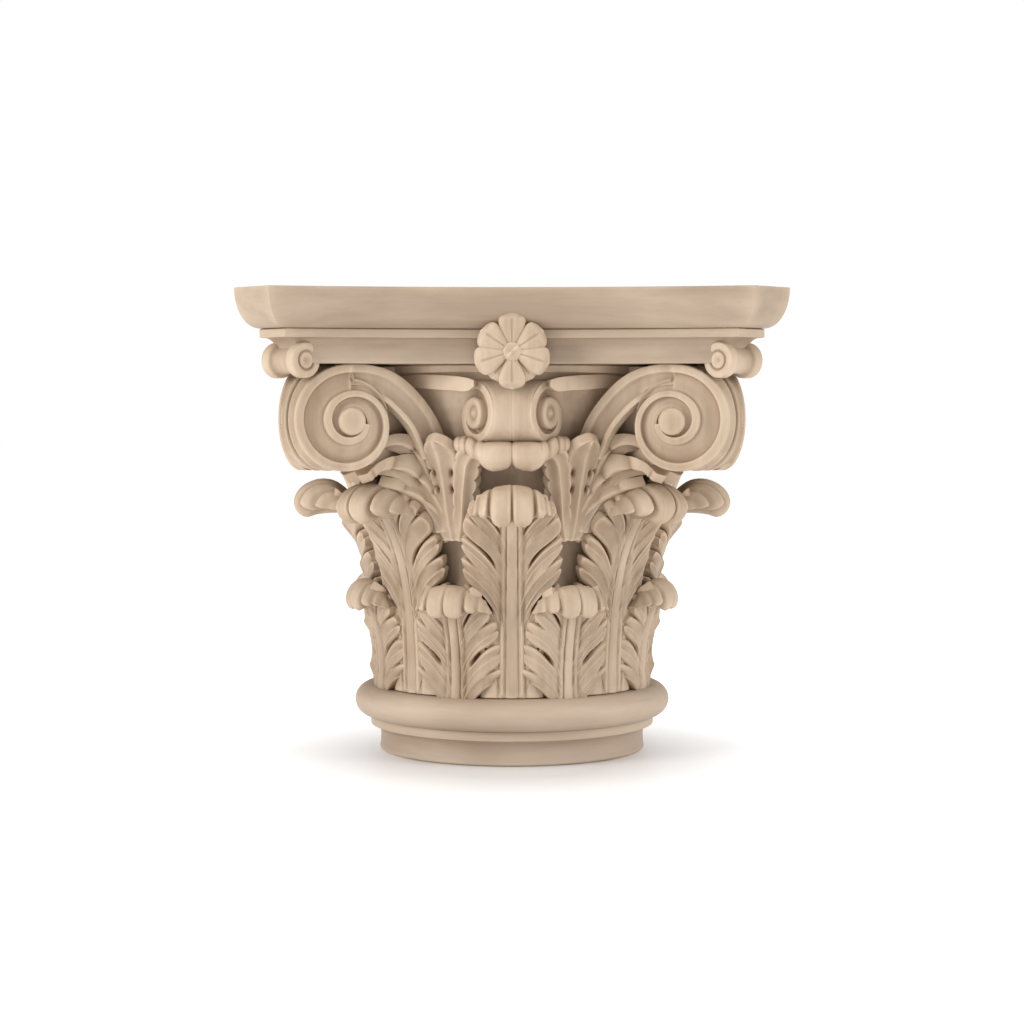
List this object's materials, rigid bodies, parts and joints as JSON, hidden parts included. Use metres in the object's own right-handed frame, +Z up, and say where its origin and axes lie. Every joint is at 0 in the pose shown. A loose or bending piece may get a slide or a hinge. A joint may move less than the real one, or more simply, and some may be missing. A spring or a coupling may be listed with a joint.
{
  "type": "corinthian capital",
  "caption": "Carved wooden Corinthian capital with two rows of acanthus leaves, corner volutes, inner scrolls, rosettes and a moulded square abacus on a turned neck ring.",
  "frame": {"origin": "centre of the underside of the neck ring, which is the bottom centre of the whole", "axes": "+Z up the column axis, front (one of four like sides) towards -Y, +X to the right seen from the front"},
  "size_m": [0.3354, 0.3354, 0.3],
  "materials": {
    "carved_wood": "satin",
    "abacus_wood": "satin",
    "ring_wood": "satin"
  },
  "bodies": {
    "root": {"neck_ring": "ring_wood", "carved_bell": "carved_wood", "abacus": "abacus_wood", "rosette_front": "carved_wood", "rosette_right": "carved_wood", "rosette_back": "carved_wood", "rosette_left": "carved_wood", "corner_roll_front_right": "carved_wood", "corner_roll_back_right": "carved_wood", "corner_roll_back_left": "carved_wood", "corner_roll_front_left": "carved_wood"}
  },
  "joints": []
}
